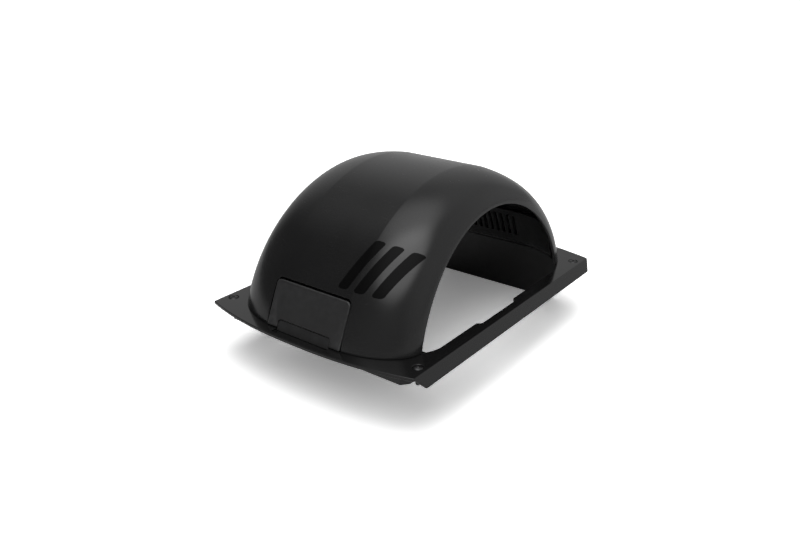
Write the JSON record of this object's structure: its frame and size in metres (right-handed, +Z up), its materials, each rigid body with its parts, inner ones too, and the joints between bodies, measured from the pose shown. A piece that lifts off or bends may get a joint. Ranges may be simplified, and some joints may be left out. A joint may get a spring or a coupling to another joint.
{
  "type": "tyre fender",
  "caption": "Arched one-wheel board tyre fender: a screw-down frame round the tyre opening, with a tilting shell, a sprung release panel and a rear splash wall.",
  "frame": {"origin": "under the middle of the tyre opening, level with the lower edge of the splash wall", "axes": "+Z up, -Y towards the front foot with the release panel, +Y towards the rear hinge and splash wall, +X to the right"},
  "size_m": [0.2482, 0.343, 0.1778],
  "materials": {
    "shell_plastic": "satin",
    "frame_plastic": "satin",
    "panel_plastic": "matte",
    "gloss_mark": "gloss",
    "black_steel": "satin",
    "bright_steel": "satin"
  },
  "bodies": {
    "frame": {"base_frame": "frame_plastic", "splash_wall": "frame_plastic", "deck_screw_front_left": "black_steel", "deck_screw_front_right": "black_steel", "deck_screw_rear_left": "black_steel", "deck_screw_rear_right": "black_steel", "splash_screw_1": "black_steel", "splash_screw_2": "black_steel", "splash_screw_3": "black_steel", "splash_screw_4": "black_steel", "hinge_pin": "bright_steel"},
    "shell": {"arch_shell": "shell_plastic", "latch_housing": "frame_plastic", "panel_pin": "bright_steel", "panel_spring": "bright_steel", "housing_screw_1": "black_steel", "housing_screw_2": "black_steel", "housing_screw_3": "black_steel", "housing_screw_4": "black_steel", "rib_plate": "frame_plastic", "hinge_clip_left": "frame_plastic", "hinge_clip_right": "frame_plastic", "clip_screw_1": "black_steel", "clip_screw_2": "black_steel", "clip_screw_3": "black_steel", "clip_screw_4": "black_steel"},
    "release_lever": {"release_panel": "panel_plastic", "finger_scoop": "frame_plastic"}
  },
  "joints": [
    {"name": "shell_tilt", "type": "hinge", "parent": "frame", "child": "shell", "pos_m": [0, 0.1645, 0.0618], "axis": [-1, 0, 0], "range_deg": [0, 60]},
    {"name": "lever_pull", "type": "hinge", "parent": "shell", "child": "release_lever", "pos_m": [0, -0.1394, 0.09059], "axis": [-1, 0, 0], "range_deg": [0, 28], "stiffness_Nm_per_rad": 0.05, "springref_deg": -20.05}
  ]
}
